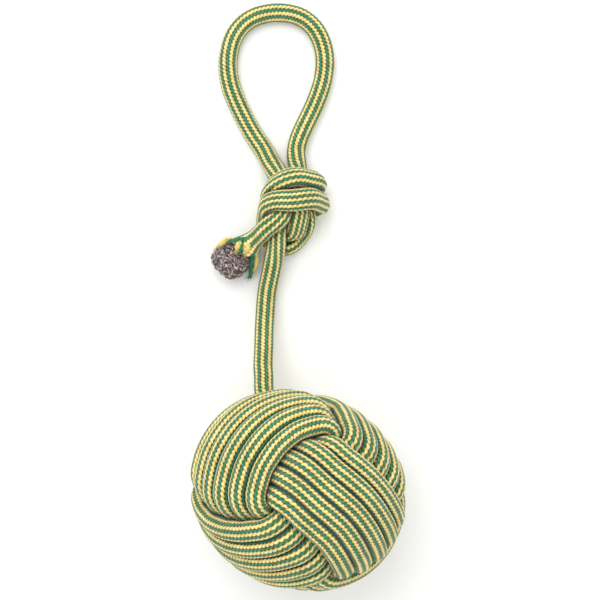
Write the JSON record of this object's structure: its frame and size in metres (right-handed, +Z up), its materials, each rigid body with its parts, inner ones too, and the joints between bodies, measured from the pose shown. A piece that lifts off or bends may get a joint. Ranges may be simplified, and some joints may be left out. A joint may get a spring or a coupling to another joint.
{
  "type": "monkey fist knot",
  "caption": "Rope ball tied as a three-way monkey's fist over a core ball, with a bending stem, an overhand loop knot, a hand loop and a short frayed tail.",
  "frame": {"origin": "on the larger of the flat spots that the fist rests on, 9 mm from under its centre", "axes": "+Z up as the piece lies, +Y from the fist along the stem to the hand loop"},
  "size_m": [0.11, 0.3109, 0.1075],
  "materials": {
    "rope_cover": "braided cotton cover, yellow and green lengthwise stripes",
    "yarn_yellow": "loose dyed cotton yarn, matte",
    "yarn_green": "loose dyed cotton yarn, matte",
    "core_fibre": "loose grey-brown recycled fibre, matte",
    "core_rubber": "plain rubber, hidden under the turns"
  },
  "bodies": {
    "fist": {"core_ball": "core_rubber", "first_turns": "rope_cover", "second_turns": "rope_cover", "third_turns": "rope_cover", "stem_root": "rope_cover"},
    "lower_stem": {"stem_lower": "rope_cover"},
    "upper_stem": {"stem_upper": "rope_cover"},
    "handle": {"knot_tail_strand": "rope_cover", "knot_stem_strand": "rope_cover", "hand_loop": "rope_cover", "tail_cover": "rope_cover", "tail_core": "core_fibre", "frayed_yarn_1": "yarn_yellow", "frayed_yarn_2": "yarn_yellow", "frayed_yarn_3": "yarn_green", "frayed_yarn_4": "yarn_yellow", "frayed_yarn_5": "yarn_green", "frayed_yarn_6": "yarn_yellow", "frayed_yarn_7": "yarn_green", "frayed_yarn_8": "yarn_yellow", "frayed_yarn_9": "yarn_green"}
  },
  "joints": [
    {"name": "stem_swing_at_fist", "type": "hinge", "parent": "fist", "child": "lower_stem", "pos_m": [-0.01672, 0.0531, 0.0234], "axis": [0, 0, 1], "range_deg": [-45, 45]},
    {"name": "stem_lift", "type": "hinge", "parent": "lower_stem", "child": "upper_stem", "pos_m": [-0.01622, 0.0741, 0.0126], "axis": [1, 0, 0], "range_deg": [0, 55]},
    {"name": "stem_swing_at_knot", "type": "hinge", "parent": "upper_stem", "child": "handle", "pos_m": [-0.01492, 0.0941, 0.006], "axis": [0, 0, 1], "range_deg": [-45, 45]}
  ]
}
